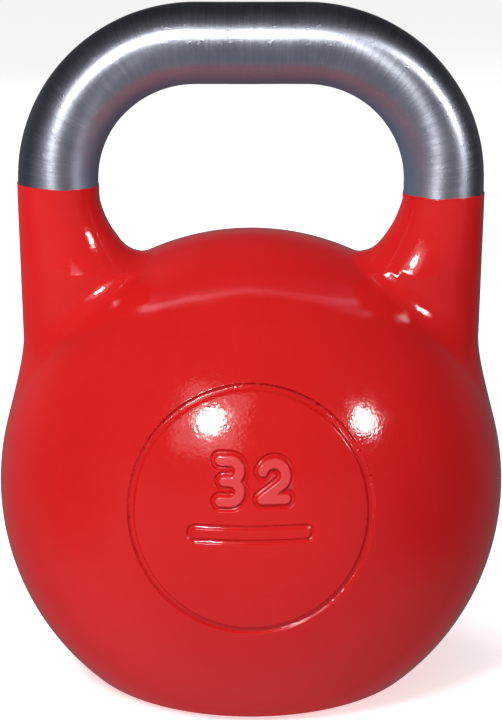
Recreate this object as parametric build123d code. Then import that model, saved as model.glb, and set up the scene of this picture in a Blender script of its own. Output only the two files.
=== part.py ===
from build123d import *

import os
from math import asin, cos, pi, radians, sin, sqrt

# A 32 kg competition kettlebell: a hollow cast-iron ball with two cast horns, a bent steel
# handle welded into the horns, and a core of bonded shot closed by a welded base plate with a
# threaded trim plug. Millimetres. +Z is up, X runs along the handle, the front faces -Y, and
# the origin is the centre of the flat base.

# ---- Driving dimensions ----

# Ball
ball_dia = 210.0
base_dia = 136.0
base_edge_radius = 2.5
core_dia = 144.0
core_mouth_dia = 72.0

# Handle bar
bar_dia = 33.0
handle_width = 190.0
window_height = 62.0
bend_radius = 56.0
leg_length = 7.5
spigot_shoulder = 4.0
spigot_length = 26.0
spigot_chamfer = 1.0
handle_weld_depth = 3.0
groove_overcut = 2.0

# Horns
horn_root_rise = 35.0
horn_flare_radius = 42.0
horn_flare_start = 12.0
horn_flare_angle = 58.0
horn_root_taper = 0.1
horn_outer_lean = 1.5
horn_depth_share = 0.3
horn_section_shares = (0.2, 0.4, 1.0)
horn_fillet_radius = 9.0

# Relief on the front, with heights above the ball's centre
medallion_radius = 45.0
medallion_rise = 18.0
ring_groove_width = 2.4
ring_groove_depth = 1.2
digit_height = 17.0
digit_width = 13.0
digit_gap = 4.5
digit_stroke = 4.0
digit_rise = 32.0
digit_relief = 0.8
moat_width = 1.5
moat_depth = 1.0
underline_length = 46.0
underline_rise = 12.0

# Base plate and its weld
plate_ledge = 9.0
plate_thickness = 10.0
plate_recess = 1.0
plate_weld_depth = 4.0

# Trim cup, plug and washer
thread_dia = 36.0
thread_depth = 1.5
thread_length = 16.0
cup_rim = 2.5
cup_flange_reach = 6.0
cup_flange_thickness = 4.0
cup_pocket_height = 26.0
cup_roof = 4.0
plug_recess = 0.5
plug_collar_reach = 3.0
plug_collar_thickness = 5.0
plug_shank_length = 16.0
plug_hex_across_flats = 19.0
plug_hex_depth = 10.0
edge_chamfer = 0.8
washer_thickness = 2.0

# Core filling
packing_thickness = 4.0
trim_ball_dia = 8.0

# Clearances
fit_clearance = 0.1
collar_clearance = 0.5
core_clearance = 0.5
socket_end_clearance = 1.0

# ---- Values worked out from them ----

ball_radius = ball_dia / 2
bar_radius = bar_dia / 2
spigot_radius = bar_radius - spigot_shoulder
core_radius = core_dia / 2
core_mouth_radius = core_mouth_dia / 2
ball_centre = sqrt(ball_radius**2 - (base_dia / 2) ** 2)
leg_x = handle_width / 2 - bar_radius
bar_axis_height = ball_centre + ball_radius + window_height + bar_radius
joint_height = bar_axis_height - bend_radius - leg_length

plate_radius = core_mouth_radius + plate_ledge
rebate_radius = plate_radius + fit_clearance
plate_top = plate_recess + plate_thickness

thread_radius = thread_dia / 2
collar_radius = thread_radius + plug_collar_reach
cup_radius = collar_radius + collar_clearance + cup_rim
cup_flange_radius = cup_radius + cup_flange_reach
pocket_radius = thread_radius - thread_depth
collar_bottom = plate_recess + plug_recess
collar_top = collar_bottom + plug_collar_thickness
washer_top = collar_top + washer_thickness
thread_top = washer_top + thread_length
plug_top = collar_top + plug_shank_length
pocket_top = thread_top + cup_pocket_height
cup_top = pocket_top + cup_roof

packing_top = plate_top + packing_thickness
ballast_bottom = max(packing_top, plate_top + cup_flange_thickness)
trim_ball_radius = trim_ball_dia / 2


def disc(radius, bottom, top):
    """An upright round solid about the bell's own axis, from one height to another."""
    return Pos(0, 0, bottom) * Cylinder(radius, top - bottom, align=(Align.CENTER, Align.CENTER, Align.MIN))


def ball_of(radius):
    """A sphere about the ball's centre, with its seam at the back, clear of horns and relief."""
    return Pos(0, 0, ball_centre) * Rot(0, 0, 90) * Sphere(radius)


def front_prism(sketch, rise):
    """A sketch seen from the front, at a rise above the ball's centre, pushed out through the front."""
    face = Plane(origin=(0, 0, ball_centre + rise), x_dir=(1, 0, 0), z_dir=(0, -1, 0)) * sketch
    return extrude(face, amount=2 * ball_radius)


def spun(points, axis_x):
    """A closed profile of (radius, height) points turned about an upright axis at x."""
    profile = Plane.XZ * Polygon(*points, align=None)
    return Pos(axis_x, 0, 0) * revolve(profile, Axis.Z)


# ---- Ball and horns ----


def plain_ball():
    """The outer ball with its flat base and rounded base edge."""
    ball = split(ball_of(ball_radius), bisect_by=Plane.XY, keep=Keep.TOP)
    rim = ball.edges().filter_by(GeomType.CIRCLE).sort_by(Axis.Z)[0]
    return fillet(rim, base_edge_radius)


def horn_flare(drop):
    """How far the window side of a horn has swept inwards at a drop below the joint."""
    first = horn_flare_radius * sin(radians(horn_flare_start))
    last = horn_flare_radius * sin(radians(horn_flare_angle))
    along = min(drop, last - first)
    arc = sqrt(horn_flare_radius**2 - first**2) - sqrt(horn_flare_radius**2 - (first + along) ** 2)
    return arc + horn_root_taper * (drop - along)


def horn(side):
    """One horn: round where it meets the bar, upright outside, flared on the window side."""
    sections = [Plane(origin=(side * leg_x, 0, joint_height)) * Circle(bar_radius)]
    outer = leg_x + bar_radius
    length = joint_height - ball_centre - horn_root_rise
    for share in horn_section_shares:
        drop = share * length
        flare = horn_flare(drop)
        lean = horn_outer_lean * drop / length
        half_width = bar_radius + (flare - lean) / 2
        half_depth = bar_radius + horn_depth_share * flare
        plane = Plane(origin=(side * (outer - lean - half_width), 0, joint_height - drop))
        sections.append(plane * Ellipse(half_width, half_depth))
    return loft(sections)


def ball_with_horns():
    """The ball and both horns as one casting, with a fillet round each horn's root."""
    casting = plain_ball()
    for side in (-1, 1):
        joined = casting + horn(side)
        roots = [edge for edge in joined.edges() if is_horn_root(edge, side)]
        casting = fillet(roots, horn_fillet_radius)
    return casting


def is_horn_root(edge, side):
    """True for an edge that lies on the ball where a horn on this side leaves it."""
    middle = edge.position_at(0.5)
    on_ball = abs((middle - Vector(0, 0, ball_centre)).length - ball_radius) < 0.05
    return on_ball and middle.Z > ball_centre and middle.X * side > bar_radius


# ---- Relief: a round medallion outline, a weight figure and a line under it ----


def digit_three(stroke):
    """The figure 3, as a stroke that follows two bowls."""
    bowl = digit_height / 4 - digit_stroke / 8
    reach = digit_width - digit_stroke - 2 * bowl
    upper = Line((-bowl, 2 * bowl), (0, 2 * bowl)) + CenterArc((0, bowl), bowl, 90, -180)
    lower = CenterArc((0, -bowl), bowl, 90, -180) + Line((0, -2 * bowl), (-bowl, -2 * bowl))
    shelf = Line((0, 0), (-bowl * 0.6, 0))
    figure = trace(upper, stroke) + trace(lower, stroke) + trace(shelf, stroke)
    return Pos(reach / 2, 0) * figure


def digit_two(stroke):
    """The figure 2, as a stroke: a bowl, a slanted neck and a foot."""
    half = (digit_height - digit_stroke) / 2
    bowl = (digit_width - digit_stroke) / 2
    bowl_arc = CenterArc((0, half - bowl), bowl, 160, -200)
    neck = Line(bowl_arc @ 1, (-bowl, -half))
    foot = Line((-bowl, -half), (bowl, -half))
    return trace(bowl_arc, stroke) + trace(neck, stroke) + trace(foot, stroke)


def figure_sketch(extra):
    """Both digits, with every stroke widened by extra on each side."""
    stroke = digit_stroke + 2 * extra
    spacing = (digit_width + digit_gap) / 2
    return Pos(-spacing, 0) * digit_three(stroke) + Pos(spacing, 0) * digit_two(stroke)


def underline_sketch(extra):
    """A plain bar under the figure, widened by extra on each side."""
    return SlotOverall(underline_length + 2 * extra, digit_stroke + 2 * extra)


def with_relief(casting):
    """The casting with the ring groove, the raised figure and the flush line, each in its moat."""
    ring = Circle(medallion_radius + ring_groove_width) - Circle(medallion_radius)
    casting -= front_prism(ring, medallion_rise) - ball_of(ball_radius - ring_groove_depth)
    strokes = [(figure_sketch, digit_rise, digit_relief), (underline_sketch, underline_rise, 0)]
    for sketch, rise, relief in strokes:
        moat = front_prism(sketch(moat_width), rise) - ball_of(ball_radius - moat_depth)
        raised = front_prism(sketch(0), rise) & ball_of(ball_radius + relief)
        casting = casting - moat + (raised - ball_of(core_radius + 1))
    return casting


def body_shell():
    """The hollow casting with its core, base rebate, handle sockets and weld grooves."""
    body = with_relief(ball_with_horns())
    body -= ball_of(core_radius)
    body -= disc(core_mouth_radius, 0, ball_centre)
    body -= disc(rebate_radius, -1, plate_top)
    socket_depth = spigot_length + socket_end_clearance
    for side in (-1, 1):
        socket = Cylinder(spigot_radius + fit_clearance, socket_depth, align=(Align.CENTER, Align.CENTER, Align.MAX))
        body -= Pos(side * leg_x, 0, joint_height) * socket
        body -= handle_weld(side, groove_overcut)
    return body


# ---- Handle ----


def bar_path():
    """The bar's centre line, from one joint up, across and down to the other."""
    low, high = joint_height, bar_axis_height
    corners = [(-leg_x, 0, low), (-leg_x, 0, high), (leg_x, 0, high), (leg_x, 0, low)]
    return FilletPolyline(*corners, radius=bend_radius)


def handle_weld(side, overcut=0):
    """The ring of weld between bar and horn, ground flush; with an overcut, the tool for its groove."""
    outer = bar_radius + overcut
    half = handle_weld_depth + overcut
    inner = bar_radius - handle_weld_depth
    points = [(outer, joint_height - half), (outer, joint_height + half), (inner, joint_height)]
    return spun(points, side * leg_x)


def handle_bar():
    """The bent bar with a turned spigot at each end and its ends bevelled for the weld."""
    path = bar_path()
    bar = sweep(Plane(origin=path @ 0, z_dir=path % 0) * Circle(bar_radius), path)
    for side in (-1, 1):
        spigot = Cylinder(spigot_radius, spigot_length, align=(Align.CENTER, Align.CENTER, Align.MAX))
        spigot = chamfer(spigot.edges().sort_by(Axis.Z)[0], spigot_chamfer)
        bar += Pos(side * leg_x, 0, joint_height) * spigot
        bar -= handle_weld(side, groove_overcut)
    return bar


# ---- Base ----


def base_plate_weld():
    """The ring of weld between plate and shell, ground flush with the plate."""
    inner = plate_radius - plate_weld_depth
    top = plate_recess + plate_weld_depth
    points = [(inner, plate_recess), (rebate_radius, plate_recess), (rebate_radius, top), (plate_radius, top)]
    return spun(points, 0)


def base_plate():
    """The disc that closes the core, bevelled for its weld and bored for the trim cup."""
    plate = disc(plate_radius, plate_recess, plate_top)
    plate -= disc(cup_radius + fit_clearance, 0, plate_top + 1)
    return plate - base_plate_weld()


def trim_cup():
    """The flanged cup through the plate: plug seat, threaded bore and shot pocket."""
    cup = disc(cup_radius, plate_recess, cup_top)
    cup = chamfer(cup.edges().sort_by(Axis.Z)[-1], edge_chamfer)
    cup += disc(cup_flange_radius, plate_top, plate_top + cup_flange_thickness)
    cup -= disc(collar_radius + collar_clearance, 0, washer_top)
    cup -= disc(thread_radius + fit_clearance, 0, thread_top)
    return cup - disc(pocket_radius, 0, pocket_top)


def fill_plug():
    """The collared screw plug with a hexagon socket."""
    collar = disc(collar_radius, collar_bottom, collar_top)
    collar = chamfer(collar.edges().sort_by(Axis.Z)[0], edge_chamfer)
    shank = disc(thread_radius, collar_top, plug_top)
    shank = chamfer(shank.edges().sort_by(Axis.Z)[-1], edge_chamfer)
    hexagon = RegularPolygon(plug_hex_across_flats / 2, 6, major_radius=False)
    socket = extrude(Pos(0, 0, collar_bottom) * hexagon, amount=plug_hex_depth)
    return collar + shank - socket


def plug_washer():
    """The flat sealing ring under the plug's collar."""
    return disc(collar_radius, collar_top, washer_top) - disc(thread_radius + fit_clearance, 0, washer_top + 1)


# ---- Core filling ----


def shot_ballast():
    """The bonded shot that fills the core and its mouth round the trim cup."""
    filling = ball_of(core_radius - core_clearance)
    filling += disc(core_mouth_radius - core_clearance, ballast_bottom, ball_centre)
    filling = split(filling, bisect_by=Plane.XY.offset(ballast_bottom), keep=Keep.TOP)
    return filling - disc(cup_radius + core_clearance, 0, cup_top + core_clearance)


def packing_ring():
    """The felt ring between the base plate and the shot."""
    outer = core_mouth_radius - core_clearance
    inner = cup_flange_radius + core_clearance
    return disc(outer, plate_top, packing_top) - disc(inner, 0, packing_top + 1)


def trim_shot():
    """Loose steel balls on top of the plug: one in the middle and a ring round it."""
    ring_radius = pocket_radius - trim_ball_radius - fit_clearance
    count = int(pi / asin((trim_ball_radius + fit_clearance) / ring_radius))
    centres = [(0, 0)]
    for index in range(count):
        angle = 2 * pi * index / count
        centres.append((ring_radius * cos(angle), ring_radius * sin(angle)))
    height = plug_top + trim_ball_radius
    return Compound([Pos(x, y, height) * Sphere(trim_ball_radius) for x, y in centres])


def trim_wad():
    """The felt wad that holds the loose shot down so that it doesn't rattle."""
    return disc(pocket_radius - fit_clearance, plug_top + trim_ball_dia, pocket_top)


def main():
    os.makedirs("parts", exist_ok=True)
    nodes = {
        "body_shell": body_shell(),
        "handle_bar": handle_bar(),
        "left_handle_weld": handle_weld(-1),
        "right_handle_weld": handle_weld(1),
        "base_plate": base_plate(),
        "base_plate_weld": base_plate_weld(),
        "trim_cup": trim_cup(),
        "fill_plug": fill_plug(),
        "plug_washer": plug_washer(),
        "shot_ballast": shot_ballast(),
        "packing_ring": packing_ring(),
        "trim_shot": trim_shot(),
        "trim_wad": trim_wad(),
    }
    for name, shape in nodes.items():
        export_step(shape, f"parts/{name}.step")


main()
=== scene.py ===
import math

import bmesh
import bpy
import numpy as np
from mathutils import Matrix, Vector, noise


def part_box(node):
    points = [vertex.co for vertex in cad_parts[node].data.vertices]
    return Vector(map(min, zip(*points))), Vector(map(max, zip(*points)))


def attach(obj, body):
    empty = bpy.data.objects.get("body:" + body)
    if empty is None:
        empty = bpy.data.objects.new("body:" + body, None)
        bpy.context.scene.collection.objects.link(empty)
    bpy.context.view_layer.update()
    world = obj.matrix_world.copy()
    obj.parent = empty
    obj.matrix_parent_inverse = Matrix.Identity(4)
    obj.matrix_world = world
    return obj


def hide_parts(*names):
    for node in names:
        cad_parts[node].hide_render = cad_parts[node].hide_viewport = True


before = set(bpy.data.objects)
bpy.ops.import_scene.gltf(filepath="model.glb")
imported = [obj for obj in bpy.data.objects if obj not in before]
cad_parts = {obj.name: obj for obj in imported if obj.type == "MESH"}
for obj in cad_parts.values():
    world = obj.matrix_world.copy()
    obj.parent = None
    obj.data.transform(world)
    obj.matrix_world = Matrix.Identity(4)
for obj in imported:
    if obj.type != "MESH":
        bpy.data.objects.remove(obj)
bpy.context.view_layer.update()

# A competition kettlebell: glossy red enamel over the cast ball and horns, a bare brushed steel
# bar, and a welded base plate with a screw plug underneath. Metres, in the frame's own axes.

MM = 0.001

# ---- Sizes read from the frame ----

shell_low, shell_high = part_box("body_shell")
bar_low, bar_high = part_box("handle_bar")
plate_low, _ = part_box("base_plate")
_, weld_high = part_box("base_plate_weld")
_, plug_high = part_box("fill_plug")

BALL_R = (shell_high.y - shell_low.y) / 2
BAR_R = (bar_high.y - bar_low.y) / 2
LEG_X = bar_high.x - BAR_R
BAR_Z = bar_high.z - BAR_R
JOINT_Z = shell_high.z
REBATE_R = weld_high.x
PLATE_Z = plate_low.z
PLUG_TOP = plug_high.z

# ---- Sizes that the frame doesn't hold ----

# Ball, bar and horns, as in the CAD model
BASE_R = 68 * MM
BASE_EDGE = 2.5 * MM
BEND_R = 56 * MM
BALL_Z = math.sqrt(BALL_R**2 - BASE_R**2)
HORN_ROOT_RISE = 35 * MM
HORN_LENGTH = JOINT_Z - BALL_Z - HORN_ROOT_RISE
FLARE_R = 42 * MM
FLARE_START = math.radians(12)
FLARE_END = math.radians(58)
FLARE_FIRST = FLARE_R * math.sin(FLARE_START)
FLARE_LAST = FLARE_R * math.sin(FLARE_END)
FLARE_TAPER = 0.1
OUTER_LEAN = 1.5 * MM
DEPTH_SHARE = 0.3

# The blend at the horns' roots, a little tighter than the CAD model's fillet
HORN_FILLET = 8 * MM

# Paint: its thickness, its edge's height above the joint and how deep that edge's waves reach,
# and the height above the joint to which the horns run before the edge is cut
PAINT = 0.22 * MM
PAINT_TOP = 4.5 * MM
PAINT_BLEND = 8 * MM
COLLAR_TOP = 12 * MM

# Relief on the front, with heights above the ball's centre
MEDALLION_R = 45 * MM
MEDALLION_RISE = 18 * MM
RING_WIDTH = 2.4 * MM
RING_DEPTH = 1.2 * MM
DIGIT_H = 17 * MM
DIGIT_W = 13 * MM
DIGIT_GAP = 4.5 * MM
STROKE = 4 * MM
DIGIT_RISE = 32 * MM
DIGIT_RELIEF = 0.8 * MM
MOAT_WIDTH = 1.5 * MM
MOAT_DEPTH = 1.0 * MM
LINE_LENGTH = 46 * MM
LINE_RISE = 12 * MM
EDGE_SOFTNESS = 0.45 * MM

# The casting's mesh: its face size, how its finer stretches are divided, and how close to the
# surface counts as on it
GRID = 2.6 * MM
BASE_EDGE_CUTS = 2
RELIEF_CUTS = 3
ON_SURFACE = 0.02 * MM

# The bar's mesh: from one ring to the next, round a ring, and how far it starts below the joint
BAR_STEP = 1.5 * MM
BAR_SIDES = 96
BAR_START = 14 * MM

# The point that every lamp faces
LIT_POINT = (0, -0.08, 0.115)


# ---- Small helpers ----


def smooth_step(low, high, value):
    """0 below low, 1 above high, and an S-shaped rise between them."""
    t = np.clip((value - low) / (high - low), 0, 1)
    return t * t * (3 - 2 * t)


def coordinates(mesh):
    """A mesh's vertices as an array."""
    flat = np.empty(len(mesh.vertices) * 3)
    mesh.vertices.foreach_get("co", flat)
    return flat.reshape(-1, 3)


def new_object(name, data):
    """An object of this name for a mesh, light or camera, linked to the scene."""
    made = bpy.data.objects.new(name, data)
    bpy.context.scene.collection.objects.link(made)
    return made


# ---- The casting as a distance field ----


def rounded_union(a, b, radius):
    """The union of two distance fields with a fillet between them."""
    near = np.hypot(np.maximum(radius - a, 0), np.maximum(radius - b, 0))
    return np.maximum(radius, np.minimum(a, b)) - near


def rounded_intersection(a, b, radius):
    """The intersection of two distance fields with a rounded edge."""
    near = np.hypot(np.maximum(radius + a, 0), np.maximum(radius + b, 0))
    return np.minimum(-radius, np.maximum(a, b)) + near


def horn_flare(drop):
    """How far the window side of a horn has swept inwards at a drop below the joint."""
    along = np.minimum(drop, FLARE_LAST - FLARE_FIRST)
    start = math.sqrt(FLARE_R**2 - FLARE_FIRST**2)
    return start - np.sqrt(FLARE_R**2 - (FLARE_FIRST + along) ** 2) + FLARE_TAPER * (drop - along)


def horn_distance(p):
    """Both horns: upright outside, flared towards the window, with a straight collar on top."""
    x, y, z = np.abs(p[:, 0]), p[:, 1], p[:, 2]
    drop = np.clip(JOINT_Z - z, 0, HORN_LENGTH)
    flare = horn_flare(drop)
    lean = OUTER_LEAN * drop / HORN_LENGTH
    half_width = BAR_R + PAINT + (flare - lean) / 2
    half_depth = BAR_R + PAINT + DEPTH_SHARE * flare
    across = (x - (LEG_X + BAR_R + PAINT - lean - half_width)) / half_width
    depth = y / half_depth
    size = np.maximum(np.hypot(across, depth), 1e-6)
    slope = np.maximum(np.hypot(across / half_width, depth / half_depth), 1e-6)
    side = (size - 1) * size / slope
    middle = (JOINT_Z + COLLAR_TOP + JOINT_Z - HORN_LENGTH) / 2
    ends = np.abs(z - middle) - (COLLAR_TOP + HORN_LENGTH) / 2
    return np.maximum(side, ends)


def casting_distance(p):
    """The ball on its flat base, with both horns filleted in."""
    ball = np.linalg.norm(p - [0, 0, BALL_Z], axis=1) - BALL_R
    body = rounded_union(ball, horn_distance(p), HORN_FILLET)
    return rounded_intersection(body, -p[:, 2], BASE_EDGE)


def to_segment(x, z, start, end):
    """Distance from points to a straight stroke."""
    dx, dz = end[0] - start[0], end[1] - start[1]
    t = np.clip(((x - start[0]) * dx + (z - start[1]) * dz) / (dx * dx + dz * dz), 0, 1)
    return np.hypot(x - start[0] - t * dx, z - start[1] - t * dz)


def to_arc(x, z, centre, radius, start, sweep):
    """Distance from points to an arc that runs clockwise from start by sweep, in degrees."""
    dx, dz = x - centre[0], z - centre[1]
    turned = np.mod(math.radians(start) - np.arctan2(dz, dx), 2 * math.pi)
    inside = turned <= math.radians(sweep)
    ends = []
    for angle in (math.radians(start), math.radians(start - sweep)):
        ends.append(np.hypot(dx - radius * math.cos(angle), dz - radius * math.sin(angle)))
    return np.where(inside, np.abs(np.hypot(dx, dz) - radius), np.minimum(*ends))


def to_three(x, z):
    """Distance to the centre line of the figure 3."""
    bowl = DIGIT_H / 4 - STROKE / 8
    x = x - (DIGIT_W - STROKE - 2 * bowl) / 2
    parts = [
        to_arc(x, z, (0, bowl), bowl, 90, 180),
        to_arc(x, z, (0, -bowl), bowl, 90, 180),
        to_segment(x, z, (-bowl, 2 * bowl), (0, 2 * bowl)),
        to_segment(x, z, (-bowl, -2 * bowl), (0, -2 * bowl)),
        to_segment(x, z, (-bowl * 0.6, 0), (0, 0)),
    ]
    return np.minimum.reduce(parts)


def to_two(x, z):
    """Distance to the centre line of the figure 2."""
    half = (DIGIT_H - STROKE) / 2
    bowl = (DIGIT_W - STROKE) / 2
    finish = math.radians(-40)
    neck = (bowl * math.cos(finish), half - bowl + bowl * math.sin(finish))
    parts = [
        to_arc(x, z, (0, half - bowl), bowl, 160, 200),
        to_segment(x, z, neck, (-bowl, -half)),
        to_segment(x, z, (-bowl, -half), (bowl, -half)),
    ]
    return np.minimum.reduce(parts)


def band(distance, width, softness):
    """1 along the middle of a band of this width, falling softly to 0 at both edges."""
    return 1 - smooth_step(width / 2 - softness, width / 2 + softness, np.abs(distance))


def ring_distance(p):
    """Distance, seen from the front, from the middle of the ring groove; negative inside it."""
    return np.hypot(p[:, 0], p[:, 2] - BALL_Z - MEDALLION_RISE) - MEDALLION_R - RING_WIDTH / 2


def relief_edges(p):
    """Distances, seen from the front, to the edges of the figure and of the line; negative inside."""
    x, z = p[:, 0], p[:, 2] - BALL_Z
    spacing = (DIGIT_W + DIGIT_GAP) / 2
    rise = z - DIGIT_RISE
    figure = np.minimum(to_three(x + spacing, rise), to_two(x - spacing, rise))
    half_line = (LINE_LENGTH - STROKE) / 2
    line = to_segment(x, z, (-half_line, LINE_RISE), (half_line, LINE_RISE))
    return figure - STROKE / 2, line - STROKE / 2


def relief(p):
    """Height of the front's relief: a ring groove, a raised figure and a line, each in a moat."""
    front = (p[:, 1] < 0).astype(float)
    height = -RING_DEPTH * band(ring_distance(p), RING_WIDTH, EDGE_SOFTNESS)
    for edge, raised in zip(relief_edges(p), (DIGIT_RELIEF, 0)):
        height = height - MOAT_DEPTH * band(edge - MOAT_WIDTH / 2, MOAT_WIDTH, EDGE_SOFTNESS)
        height = height + raised * (1 - smooth_step(-EDGE_SOFTNESS, EDGE_SOFTNESS, edge))
    return height * front


def surface_distance(p):
    """The casting with its relief."""
    return casting_distance(p) - relief(p)


def gradient(field, p, step=0.03 * MM):
    """The field's gradient at each point, by differences."""
    parts = []
    for axis in range(3):
        shift = np.zeros(3)
        shift[axis] = step
        parts.append((field(p + shift) - field(p - shift)) / (2 * step))
    return np.stack(parts, axis=1)


def onto(field, p, rounds=6):
    """Points moved onto the field's surface."""
    for _ in range(rounds):
        slope = gradient(field, p)
        steep = np.maximum((slope**2).sum(1), 0.05)
        move = slope * (field(p) / steep)[:, None]
        length = np.maximum(np.linalg.norm(move, axis=1), 1e-12)
        p = p - move * np.minimum(1, GRID / length)[:, None]
    return p


# ---- The painted casting's mesh ----


def cut_off(bm, height, direction):
    """Removes what lies beyond a level plane: above it for a direction of 1, below it for -1."""
    everything = bm.verts[:] + bm.edges[:] + bm.faces[:]
    level, facing = (0, 0, height), (0, 0, direction)
    bmesh.ops.bisect_plane(bm, geom=everything, plane_co=level, plane_no=facing, clear_outer=True)


def rough_casting():
    """Ball and horns as overlapping closed meshes, remeshed into one even skin."""
    bm = bmesh.new()
    bmesh.ops.create_icosphere(bm, subdivisions=5, radius=BALL_R + 1 * MM)
    bmesh.ops.translate(bm, verts=bm.verts, vec=(0, 0, BALL_Z))
    cut_off(bm, 0, -1)
    bmesh.ops.holes_fill(bm, edges=[edge for edge in bm.edges if edge.is_boundary])
    middle = JOINT_Z + (COLLAR_TOP - HORN_LENGTH) / 2
    cone = {"radius1": BAR_R + 8 * MM, "radius2": BAR_R, "depth": HORN_LENGTH + COLLAR_TOP}
    for side in (-1, 1):
        made = bmesh.ops.create_cone(bm, cap_ends=True, segments=48, **cone)
        bmesh.ops.translate(bm, verts=made["verts"], vec=(side * LEG_X, 0, middle))
    mesh = bpy.data.meshes.new("rough")
    bm.to_mesh(mesh)
    bm.free()
    rough = new_object("rough", mesh)
    skin = rough.modifiers.new("skin", "REMESH")
    skin.mode = "VOXEL"
    skin.voxel_size = GRID
    evaluated = rough.evaluated_get(bpy.context.evaluated_depsgraph_get())
    result = bpy.data.meshes.new_from_object(evaluated)
    bpy.data.objects.remove(rough)
    return result


def move_onto(bm, field, rounds=6):
    """Moves every vertex of bm onto the field's surface."""
    points = onto(field, np.array([vert.co for vert in bm.verts]), rounds)
    for vert, point in zip(bm.verts, points):
        vert.co = point


def refine_where(bm, chosen, cuts):
    """Divides the edges of the chosen faces, in an order that is the same each run."""
    edges = {}
    for face, wanted in zip(bm.faces, chosen):
        if wanted:
            edges.update(dict.fromkeys(face.edges))
    bmesh.ops.subdivide_edges(bm, edges=list(edges), cuts=cuts, use_grid_fill=True)


def face_centres(bm):
    """The middle of every face, as an array."""
    return np.array([face.calc_center_median() for face in bm.faces])


def refine(bm):
    """Finer faces over the medallion and the base's edge, and finer again along the relief's edges."""
    centres = face_centres(bm)
    outside = np.hypot(centres[:, 0], centres[:, 1]) > BASE_R - BASE_EDGE * 2
    refine_where(bm, outside & (centres[:, 2] < BASE_EDGE * 2), BASE_EDGE_CUTS)

    centres = face_centres(bm)
    medallion = ring_distance(centres) < RING_WIDTH / 2 + 1.5 * MM
    refine_where(bm, medallion & (centres[:, 1] < 0), RELIEF_CUTS)
    move_onto(bm, casting_distance)

    centres = face_centres(bm)
    ring = np.abs(ring_distance(centres)) < RING_WIDTH / 2 + EDGE_SOFTNESS
    from_moat = np.minimum(*relief_edges(centres)) - MOAT_WIDTH / 2
    moat = np.abs(from_moat) < MOAT_WIDTH / 2 + 1.5 * EDGE_SOFTNESS
    refine_where(bm, (ring | moat) & (centres[:, 1] < 0), 1)
    move_onto(bm, surface_distance)


def boundary_loops(bm):
    """The mesh's open edges as lists of vertices, one list for each hole."""
    left = dict.fromkeys(edge for edge in bm.edges if edge.is_boundary)
    loops = []
    while left:
        edge = next(iter(left))
        left.pop(edge)
        first, here = edge.verts
        loop = [first, here]
        while here is not first:
            edge = next(other for other in here.link_edges if other in left)
            left.pop(edge)
            here = edge.other_vert(here)
            loop.append(here)
        loops.append(loop[:-1])
    return loops


def close_hole(bm, loop, centre, rings):
    """Runs a hole's edge through rings, each a radius and a height above that edge, then caps it."""
    angles = [math.atan2(vert.co.y - centre[1], vert.co.x - centre[0]) for vert in loop]
    heights = [vert.co.z for vert in loop]
    last = loop
    for radius, step in rings:
        row = []
        for angle, height in zip(angles, heights):
            x, y = centre[0] + radius * math.cos(angle), centre[1] + radius * math.sin(angle)
            row.append(bm.verts.new((x, y, height + step)))
        for i in range(len(loop)):
            j = (i + 1) % len(loop)
            bm.faces.new((last[i], last[j], row[j], row[i]))
        last = row
    bm.faces.new(last)


def paint_edge(angle, side):
    """Height of the hand-masked paint edge above PAINT_TOP, round the bar; it's lower on the right."""
    ripple = 0.18 * math.sin(5 * angle + side) + 0.12 * math.sin(9 * angle + 2 * side)
    if side < 0:
        wave = -0.6 * math.cos(angle) - 0.7 * math.sin(angle)
        return (1.1 + wave + ripple) * MM
    wave = -1.0 * math.sin(angle) + 0.2 * math.cos(2 * angle)
    return (-2.7 + wave + ripple) * MM


def open_collars(bm):
    """Cuts the paint off the bar at a slightly wavy edge, with a rounded lip."""
    cut = JOINT_Z + PAINT_TOP
    cut_off(bm, cut, 1)
    low = cut - PAINT_BLEND
    for vert in bm.verts:
        if vert.co.z > low:
            side = math.copysign(1, vert.co.x)
            angle = math.atan2(vert.co.y, vert.co.x - side * LEG_X)
            share = float(smooth_step(low, cut, vert.co.z))
            vert.co.z += share * paint_edge(angle, side)
    for loop in boundary_loops(bm):
        side = math.copysign(1, loop[0].co.x)
        lip = [
            (BAR_R + PAINT * 1.25, 0.12 * MM),
            (BAR_R + PAINT * 1.1, 0.38 * MM),
            (BAR_R + PAINT * 0.6, 0.55 * MM),
            (BAR_R - 0.4 * MM, 0.58 * MM),
        ]
        close_hole(bm, loop, (side * LEG_X, 0), lip)


def open_base(bm):
    """Cuts the rebate for the base plate into the flat base, deep enough to clear the plug."""
    inner = REBATE_R + 4 * MM
    flat = []
    for face in bm.faces:
        if all(vert.co.z < ON_SURFACE and vert.co.xy.length < inner for vert in face.verts):
            flat.append(face)
    bmesh.ops.delete(bm, geom=flat, context="FACES")
    rings = [
        (REBATE_R + 0.5 * MM, 0),
        (REBATE_R + 0.1 * MM, 0.15 * MM),
        (REBATE_R, 0.5 * MM),
        (REBATE_R, PLATE_Z),
        (REBATE_R, PLUG_TOP + 2 * MM),
    ]
    for loop in boundary_loops(bm):
        close_hole(bm, loop, (0, 0), rings)


def painted_casting():
    """The casting's final mesh, with normals taken from the field so that gloss runs smoothly."""
    bm = bmesh.new()
    bm.from_mesh(rough_casting())
    move_onto(bm, casting_distance)
    every_axis = {"use_axis_x": True, "use_axis_y": True, "use_axis_z": True}
    for _ in range(3):
        bmesh.ops.smooth_vert(bm, verts=bm.verts, factor=0.5, **every_axis)
        move_onto(bm, casting_distance, 2)
    refine(bm)
    open_base(bm)
    open_collars(bm)
    bmesh.ops.recalc_face_normals(bm, faces=bm.faces)
    mesh = bpy.data.meshes.new("painted_casting")
    bm.to_mesh(mesh)
    bm.free()
    mesh.shade_smooth()
    mark_raised(mesh)
    set_field_normals(mesh)
    return new_object("painted_casting", mesh)


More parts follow.
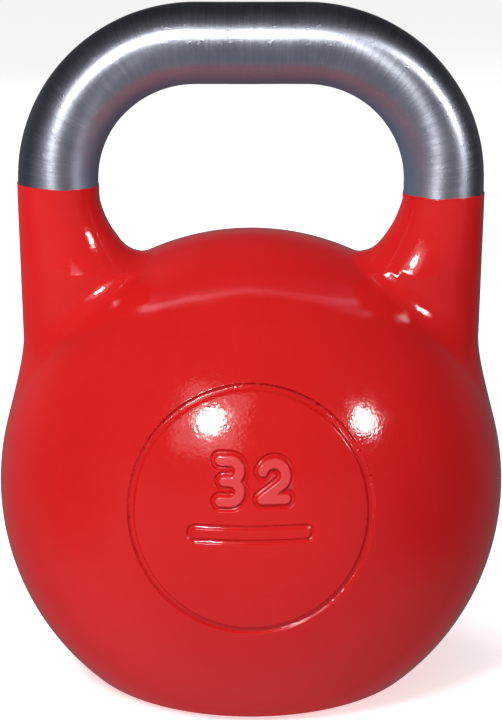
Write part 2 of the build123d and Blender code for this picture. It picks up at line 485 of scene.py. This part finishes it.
def mark_raised(mesh):
    """Stores how far each vertex is on the figure's raised face, which the enamel paints a paler red as a
    painted highlight.
    """
    points = coordinates(mesh)
    edge, _ = relief_edges(points)
    share = (1 - smooth_step(-EDGE_SOFTNESS, 0, edge)) * (points[:, 1] < 0)
    raised = mesh.attributes.new("raised", "FLOAT", "POINT")
    raised.data.foreach_set("value", share)


def set_field_normals(mesh):
    """Uses the field's gradient as the normal wherever a vertex lies on the field's surface."""
    points = coordinates(mesh)
    own = np.empty(len(mesh.vertices) * 3)
    mesh.vertex_normals.foreach_get("vector", own)
    own = own.reshape(-1, 3)
    slope = gradient(surface_distance, points)
    slope /= np.maximum(np.linalg.norm(slope, axis=1), 1e-9)[:, None]
    on_surface = np.abs(surface_distance(points)) < ON_SURFACE
    below_collar = points[:, 2] < JOINT_Z - 5 * MM
    agree = (slope * own).sum(1) > 0.9
    use = (on_surface & below_collar & agree)[:, None]
    mesh.normals_split_custom_set_from_vertices(np.where(use, slope, own).tolist())


# ---- The bar's mesh ----


def bar_route():
    """Points and directions in X and Z along the bar's centre line, from the left leg to the right."""
    corner_z = BAR_Z - BEND_R
    corner_x = LEG_X - BEND_R
    left = [((-LEG_X, z), (0, 1)) for z in np.arange(JOINT_Z - BAR_START, corner_z, BAR_STEP)]
    turns = int(BEND_R * math.pi / 2 / BAR_STEP)
    for i in range(turns + 1):
        a = math.pi / 2 * i / turns
        place = (-corner_x - BEND_R * math.cos(a), corner_z + BEND_R * math.sin(a))
        left.append((place, (math.sin(a), math.cos(a))))
    flats = int(2 * corner_x / BAR_STEP)
    top = [((-corner_x + 2 * corner_x * i / flats, BAR_Z), (1, 0)) for i in range(1, flats)]
    right = [((-x, z), (dx, -dz)) for (x, z), (dx, dz) in reversed(left)]
    return left + top + right


def bar_ring(bm, centre, direction):
    """One ring of the bar's vertices, with the faint flats and dents of hand grinding."""
    dx, dz = direction
    ring = []
    for k in range(BAR_SIDES):
        a = 2 * math.pi * k / BAR_SIDES
        radial = Vector((-dz * math.cos(a), math.sin(a), dx * math.cos(a)))
        place = Vector((centre[0], 0, centre[1])) + radial * BAR_R
        slow = noise.noise(place * 45) * 0.10 * MM
        quick = noise.noise(place * 160 + Vector((7, 1, 3))) * 0.035 * MM
        ring.append(bm.verts.new(place + radial * (slow + quick - 0.1 * MM)))
    return ring


def steel_bar():
    """The bent bar as an even tube, with a UV map: U along the bar, V once round it."""
    rows = bar_route()
    bm = bmesh.new()
    uv_layer = bm.loops.layers.uv.new("along")
    rings = [bar_ring(bm, centre, direction) for centre, direction in rows]
    lengths = [0.0]
    for (before, _), (here, _) in zip(rows, rows[1:]):
        lengths.append(lengths[-1] + math.hypot(here[0] - before[0], here[1] - before[1]))
    for i in range(len(rings) - 1):
        for k in range(BAR_SIDES):
            j = (k + 1) % BAR_SIDES
            face = bm.faces.new((rings[i][k], rings[i][j], rings[i + 1][j], rings[i + 1][k]))
            corners = ((i, k), (i, k + 1), (i + 1, k + 1), (i + 1, k))
            for loop, (row, column) in zip(face.loops, corners):
                loop[uv_layer].uv = (lengths[row] / (2 * math.pi * BAR_R), column / BAR_SIDES)
    bm.faces.new(rings[0])
    bm.faces.new(rings[-1])
    bmesh.ops.recalc_face_normals(bm, faces=bm.faces)
    mesh = bpy.data.meshes.new("steel_bar")
    bm.to_mesh(mesh)
    bm.free()
    mesh.shade_smooth()
    return new_object("steel_bar", mesh)


# ---- Materials ----


class Tree:
    """A short way to write a node tree."""

    def __init__(self, tree):
        self.tree = tree

    def add(self, kind, inputs=None, **settings):
        """A new node, its inputs set to values or linked from sockets."""
        node = self.tree.nodes.new(kind)
        for key, value in settings.items():
            setattr(node, key, value)
        for key, value in (inputs or {}).items():
            self.feed(node.inputs[key], value)
        return node

    def feed(self, socket, value):
        """Links a socket from another node's output, or sets its value."""
        if isinstance(value, bpy.types.NodeSocket):
            self.tree.links.new(value, socket)
        else:
            socket.default_value = value

    def noise(self, vector, scale, detail=2.0, roughness=0.5):
        values = {"Vector": vector, "Scale": scale, "Detail": detail, "Roughness": roughness}
        return self.add("ShaderNodeTexNoise", values).outputs["Fac"]

    def spread(self, value, low, high, to_low, to_high):
        """The value's range from low to high, spread over another range and held at its ends."""
        values = {"Value": value, "From Min": low, "From Max": high, "To Min": to_low, "To Max": to_high}
        return self.add("ShaderNodeMapRange", values).outputs["Result"]

    def ramp(self, value, stops):
        """A colour that follows the value through stops, each a place and a colour."""
        node = self.add("ShaderNodeValToRGB", {"Fac": value})
        points = node.color_ramp.elements
        while len(points) < len(stops):
            points.new(0.5)
        for point, (place, colour) in zip(points, stops):
            point.position = place
            point.color = (*colour, 1)
        return node.outputs["Color"]

    def mix(self, share, first, second, blend="MIX"):
        """Two colours blended; the Mix node's colour sockets are its inputs 6 and 7 and output 2."""
        values = {0: share, 6: first, 7: second}
        return self.add("ShaderNodeMix", values, data_type="RGBA", blend_type=blend).outputs[2]

    def math(self, operation, a, b, c=None):
        values = {0: a, 1: b} if c is None else {0: a, 1: b, 2: c}
        return self.add("ShaderNodeMath", values, operation=operation).outputs["Value"]

    def bump(self, height, distance, strength=1.0, normal=None):
        values = {"Height": height, "Distance": distance, "Strength": strength}
        if normal is not None:
            values["Normal"] = normal
        return self.add("ShaderNodeBump", values).outputs["Normal"]


class Finish(Tree):
    """A material's node tree."""

    def __init__(self, name):
        self.material = bpy.data.materials.new(name)
        self.material.use_nodes = True
        super().__init__(self.material.node_tree)
        self.shader = self.tree.nodes["Principled BSDF"]
        self.shader.distribution = "MULTI_GGX"

    def set(self, **values):
        """Sets or links the shader's own sockets; an underscore stands for a space."""
        for key, value in values.items():
            self.feed(self.shader.inputs[key.replace("_", " ")], value)

    def position(self):
        return self.add("ShaderNodeTexCoord").outputs["Object"]


def enamel():
    """Glossy red enamel: orange peel, slow sags, a slow change of depth in the red, and a painted
    highlight, a paler red on the figure's raised face.
    """
    n = Finish("red_enamel")
    place = n.position()
    slow = n.noise(place, 9.0, 3.0)
    red = n.ramp(slow, [(0.3, (0.62, 0.010, 0.011)), (0.7, (0.72, 0.014, 0.015))])
    raised = n.add("ShaderNodeAttribute", attribute_name="raised").outputs["Fac"]
    # Painted highlight: the figure's raised face is mixed towards a paler red, standing in for light
    # caught on it
    colour = n.mix(n.spread(raised, 0.0, 1.0, 0.0, 0.55), red, (0.82, 0.10, 0.10, 1))
    peel = n.noise(place, 700.0, 2.0, 0.55)
    sag = n.noise(place, 60.0, 2.0)
    rough = n.spread(n.noise(place, 220.0, 3.0), 0.3, 0.7, 0.07, 0.15)
    normal = n.bump(sag, 0.15 * MM, 0.6)
    normal = n.bump(peel, 0.08 * MM, 0.8, normal)
    n.set(Base_Color=colour, Roughness=rough, Normal=normal, IOR=1.5)
    return n.material


def brushed_bar():
    """Bare bar steel, ground in rings round the bar, with stains and nicks, dull towards the window, where
    a bluish grey colour is a painted reflection.
    """
    n = Finish("brushed_bar")
    uv = n.add("ShaderNodeUVMap", uv_map="along").outputs["UV"]
    fine = n.add("ShaderNodeMapping", {"Vector": uv, "Scale": (170.0, 6.0, 1.0)}).outputs["Vector"]
    broad = n.add("ShaderNodeMapping", {"Vector": uv, "Scale": (40.0, 2.5, 1.0)}).outputs["Vector"]
    scratches = n.noise(fine, 1.0, 4.0, 0.7)
    bands = n.noise(broad, 1.0, 3.0, 0.6)
    place = n.position()
    stain = n.noise(place, 45.0, 5.0, 0.65)
    grain = n.noise(place, 1100.0, 3.0, 0.6)
    nicks = n.noise(place, 420.0, 2.0, 0.5)

    # V is 0.5 along the side that faces the window
    around = n.add("ShaderNodeSeparateXYZ", {"Vector": uv}).outputs["Y"]
    offset = n.math("ABSOLUTE", n.math("SUBTRACT", around, 0.5), 0.0)
    inner = n.spread(offset, 0.10, 0.21, 1.0, 0.0)

    tone = n.ramp(stain, [(0.3, (0.38, 0.40, 0.46)), (0.7, (0.52, 0.545, 0.61))])
    streak = n.spread(scratches, 0.25, 0.75, 0.78, 1.12)
    shade = n.add("ShaderNodeVectorMath", {0: tone, "Scale": streak}, operation="SCALE").outputs["Vector"]
    # Painted reflection: the window side is tinted bluish grey and made less metallic, standing in for the
    # purple-grey reflection seen there
    shade = n.mix(inner, shade, (0.18, 0.29, 0.42, 1))
    bare = n.spread(inner, 0.0, 1.0, 1.0, 0.55)

    rough = n.spread(bands, 0.3, 0.7, 0.37, 0.44)
    rough = n.math("ADD", rough, n.spread(scratches, 0.3, 0.7, -0.03, 0.05))
    rough = n.math("ADD", rough, n.math("MULTIPLY", inner, 0.22))
    normal = n.bump(bands, 0.05 * MM, 0.7)
    normal = n.bump(scratches, 0.02 * MM, 0.8, normal)
    normal = n.bump(grain, 0.045 * MM, 0.8, normal)
    normal = n.bump(n.spread(nicks, 0.62, 0.72, 0.0, 1.0), 0.05 * MM, 0.7, normal)
    along = n.add("ShaderNodeTangent", direction_type="UV_MAP", uv_map="along").outputs["Tangent"]
    n.set(Base_Color=shade, Metallic=bare, Roughness=rough, Normal=normal, Anisotropic=0.75, Tangent=along)
    return n.material


def plain_steel(name, dark, light, low, high):
    """Turned or ground steel with a fine mottle."""
    n = Finish(name)
    place = n.position()
    tone = n.ramp(n.noise(place, 60.0, 4.0), [(0.3, (dark,) * 3), (0.7, (light, light, light * 1.02))])
    grain = n.noise(place, 900.0, 3.0)
    n.set(
        Base_Color=tone,
        Metallic=1.0,
        Roughness=n.spread(grain, 0.3, 0.7, low, high),
        Normal=n.bump(grain, 0.02 * MM, 0.7),
    )
    return n.material


def dull(name, dark, light, scale, roughness, depth):
    """A matt material with a grain: sealing ring, felt or bonded shot."""
    n = Finish(name)
    place = n.position()
    tone = n.ramp(n.noise(place, scale / 3, 3.0), [(0.3, dark), (0.7, light)])
    grain = n.noise(place, scale, 3.0)
    rough = n.spread(grain, 0.3, 0.7, roughness - 0.1, roughness)
    n.set(Base_Color=tone, Roughness=rough, Normal=n.bump(grain, depth))
    return n.material


def dress_frame(red):
    """Gives each CAD node that stays its material."""
    steel = plain_steel("turned_steel", 0.38, 0.50, 0.25, 0.38)
    felt = dull("wool_felt", (0.32, 0.31, 0.29), (0.45, 0.44, 0.41), 1400, 0.95, 0.3 * MM)
    choice = {
        "left_handle_weld": steel,
        "right_handle_weld": steel,
        "base_plate": red,
        "base_plate_weld": red,
        "trim_cup": steel,
        "fill_plug": plain_steel("blackened_steel", 0.06, 0.10, 0.35, 0.50),
        "plug_washer": dull("sealing_ring", (0.02, 0.02, 0.02), (0.05, 0.05, 0.05), 900, 0.8, 0.05 * MM),
        "shot_ballast": dull("bonded_shot", (0.10, 0.10, 0.11), (0.24, 0.24, 0.25), 500, 0.6, 0.8 * MM),
        "packing_ring": felt,
        "trim_wad": felt,
        "trim_shot": plain_steel("shot_steel", 0.35, 0.50, 0.15, 0.25),
    }
    for node, material in choice.items():
        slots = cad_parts[node].data.materials
        slots.clear()
        slots.append(material)


# ---- Stage, lights and camera ----


def floor():
    """A large pale floor, 24 m across, which the object neither mirrors nor takes light from."""
    bm = bmesh.new()
    bmesh.ops.create_grid(bm, x_segments=2, y_segments=2, size=12)
    mesh = bpy.data.meshes.new("floor")
    bm.to_mesh(mesh)
    bm.free()
    made = new_object("floor", mesh)
    n = Finish("floor_paper")
    n.set(Base_Color=(0.88, 0.88, 0.88, 1), Roughness=0.9, Specular_IOR_Level=0.0)
    n.set(Emission_Color=(1, 1, 1, 1), Emission_Strength=0.54)
    mesh.materials.append(n.material)
    made.visible_glossy = False
    made.visible_diffuse = False


def lamp(name, towards, distance, size, power, shape="DISK", diffuse=True, glossy=True):
    """A soft light in a direction from the middle of the bell, facing it."""
    data = bpy.data.lights.new(name, "AREA")
    data.shape = shape
    data.size = size
    data.energy = power
    made = new_object(name, data)
    away = Vector(towards).normalized()
    made.location = Vector(LIT_POINT) + away * distance
    made.rotation_euler = away.to_track_quat("Z", "Y").to_euler()
    made.visible_diffuse = diffuse
    made.visible_glossy = glossy


def lights():
    """A hot lamp in a softbox on the left, a second lamp on the right, a fill behind, and a dim room."""
    key, second, behind = (-0.301, -0.663, 0.663), (0.766, -0.360, 0.510), (-0.4, 0.8, 0.5)
    lamp("key_core", key, distance=1.0, size=0.18, power=5.0)
    lamp("key_glint", key, distance=0.99, size=0.18, power=3.8, diffuse=False)
    lamp("key_box", key, distance=1.02, size=0.55, power=1.3, shape="SQUARE")
    lamp("second", second, distance=1.0, size=0.18, power=1.6)
    lamp("second_glint", second, distance=0.99, size=0.18, power=2.4, diffuse=False)
    lamp("back_fill", behind, distance=1.3, size=0.6, power=7.0, glossy=False)
    room()


def grey(level):
    """A colour with no tint."""
    return (level, level, level)


def room():
    """Even light from all round, a dim surrounding for reflections, and white paper behind."""
    world = bpy.data.worlds.new("room")
    bpy.context.scene.world = world
    world.use_nodes = True
    world.cycles.sampling_method = "NONE"
    n = Tree(world.node_tree)
    n.tree.nodes.clear()
    direction = n.add("ShaderNodeTexCoord").outputs["Generated"]
    axes = n.add("ShaderNodeSeparateXYZ", {"Vector": direction})

    def by_axis(axis, stops):
        """A tint that follows one axis of the direction, which runs from -1 to 1."""
        share = n.math("MULTIPLY_ADD", axes.outputs[axis], 0.5, 0.5)
        return n.ramp(share, [(place / 2 + 0.5, colour) for place, colour in stops])

    def glow(tints, strength):
        """A background of several tints multiplied together."""
        colour = tints[0]
        for tint in tints[1:]:
            colour = n.mix(1.0, colour, tint, blend="MULTIPLY")
        return n.add("ShaderNodeBackground", {"Color": colour, "Strength": strength}).outputs[0]

    def either(share, first, second):
        """The second background where share is 1, otherwise the first."""
        return n.add("ShaderNodeMixShader", {0: share, 1: first, 2: second}).outputs[0]

    upright = by_axis("Z", [(-1.0, grey(2.5)), (-0.5, grey(1.4)), (-0.1, grey(0.75)), (1.0, grey(0.80))])
    sideways = by_axis("X", [(-1.0, grey(1.0)), (0.0, grey(0.78)), (0.7, grey(0.27)), (1.0, grey(0.18))])
    fill = glow([upright, sideways], 0.74)
    cool = [(-1.0, 0.34), (-0.6, 0.32), (0.10, 0.30), (0.34, 0.12), (1.0, 0.09)]
    height = by_axis("Z", [(place, (level, level * 1.02, level * 1.14)) for place, level in cool])
    walls = by_axis("X", [(-1.0, grey(0.15)), (-0.84, grey(0.9)), (0.78, grey(0.7)), (0.95, grey(0.15))])
    depth = by_axis("Y", [(-1.0, grey(1.0)), (-0.1, grey(1.0)), (0.45, grey(0.4)), (1.0, grey(0.5))])
    dim = glow([height, walls, depth], 1.0)
    paper = glow([(1, 1, 1, 1)], 1.0)

    path = n.add("ShaderNodeLightPath")
    mirrored = either(path.outputs["Is Glossy Ray"], fill, dim)
    shown = either(path.outputs["Is Camera Ray"], mirrored, paper)
    n.add("ShaderNodeOutputWorld", {"Surface": shown})


def camera():
    """The viewing camera: in front, a little above, about a metre away."""
    data = bpy.data.cameras.new("camera")
    data.sensor_fit = "AUTO"
    data.sensor_width = 36
    data.lens = 125.2
    data.clip_start = 0.01
    made = new_object("camera", data)
    made.location = (0, -1.0, 0.420)
    aim = Vector((0, 0, 0.1312))
    made.rotation_euler = (made.location - aim).to_track_quat("Z", "Y").to_euler()
    bpy.context.scene.camera = made


# ---- Assembly ----

red = enamel()
casting = painted_casting()
casting.data.materials.append(red)
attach(casting, "root")
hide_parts("body_shell")

bar = steel_bar()
bar.data.materials.append(brushed_bar())
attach(bar, "root")
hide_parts("handle_bar")

dress_frame(red)
floor()
lights()
camera()
bpy.context.scene.view_settings.view_transform = "Standard"
